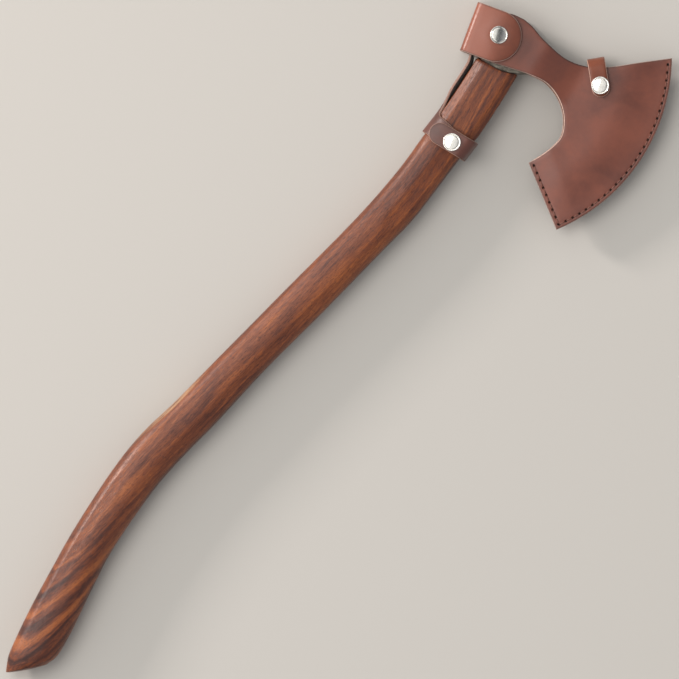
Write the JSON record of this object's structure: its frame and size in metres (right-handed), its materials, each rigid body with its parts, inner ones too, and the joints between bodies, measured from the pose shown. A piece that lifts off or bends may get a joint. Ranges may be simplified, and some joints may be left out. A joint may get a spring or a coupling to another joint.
{
  "type": "carving hatchet with leather sheath",
  "caption": "Bearded carving hatchet on a long S-curved hardwood haft, its head in a stitched leather sheath with a poll wrap, a top strap and a haft collar closed by press snaps.",
  "frame": {"origin": "middle of the footprint of the hatchet lying on its side, on the surface it rests on", "axes": "+Y up the haft towards the head, +X towards the cutting edge, +Z out of the side with the snaps"},
  "size_m": [0.2218, 0.6514, 0.0374],
  "materials": {
    "head_steel": "forged steel, dark cheeks and a ground edge",
    "haft_wood": "oiled reddish rosewood-like hardwood with dark streaks",
    "wedge_wood": "plain pale hardwood",
    "wedge_steel": "plain steel",
    "panel_leather": "smooth reddish brown vegetable-tanned leather",
    "strap_leather": "smooth glossy brown leather with raw cut edges",
    "thread": "dark waxed thread",
    "snap_metal": "bright nickel plate"
  },
  "bodies": {
    "axe": {"axe_head": "head_steel", "haft": "haft_wood", "wooden_wedge": "wedge_wood", "steel_wedge": "wedge_steel"},
    "sheath": {"front_panel": "panel_leather", "back_panel": "panel_leather", "edge_welt": "strap_leather", "front_stitching": "thread", "back_stitching": "thread", "poll_wrap": "panel_leather", "strap_stitching": "thread", "top_strap": "strap_leather", "handle_strap": "strap_leather", "rivet_post": "snap_metal", "rivet_cap": "snap_metal", "poll_snap_stud": "snap_metal", "poll_snap_eyelet": "snap_metal", "top_snap_stud": "snap_metal", "top_snap_eyelet": "snap_metal", "collar_snap_stud": "snap_metal", "collar_snap_eyelet": "snap_metal"},
    "poll_flap": {"poll_flap": "panel_leather", "poll_snap_socket": "snap_metal", "poll_snap_cap": "snap_metal"},
    "top_flap": {"top_flap": "strap_leather", "top_snap_socket": "snap_metal", "top_snap_cap": "snap_metal"},
    "collar_tongue": {"collar_tongue": "strap_leather", "collar_snap_socket": "snap_metal", "collar_snap_cap": "snap_metal"}
  },
  "joints": [
    {"name": "sheath_off", "type": "slide", "parent": "axe", "child": "sheath", "axis": [0.8051, -0.5932, 0], "range_m": [0, 0.2], "deforming": ["poll_wrap", "handle_strap", "strap_stitching", "top_strap"]},
    {"name": "poll_flap_fold", "type": "hinge", "parent": "sheath", "child": "poll_flap", "pos_m": [-0.04592, 0.26576, 0.0353], "axis": [0.1822, -0.9833, 0], "range_deg": [0, 120]},
    {"name": "top_flap_fold", "type": "hinge", "parent": "sheath", "child": "top_flap", "pos_m": [0.0468, 0.29099, 0.0263], "axis": [-0.76, -0.65, 0], "range_deg": [0, 120]},
    {"name": "collar_tongue_fold", "type": "hinge", "parent": "sheath", "child": "collar_tongue", "pos_m": [-0.0089, 0.18745, 0.0349], "axis": [0.124, 0.9923, 0], "range_deg": [0, 110]}
  ]
}
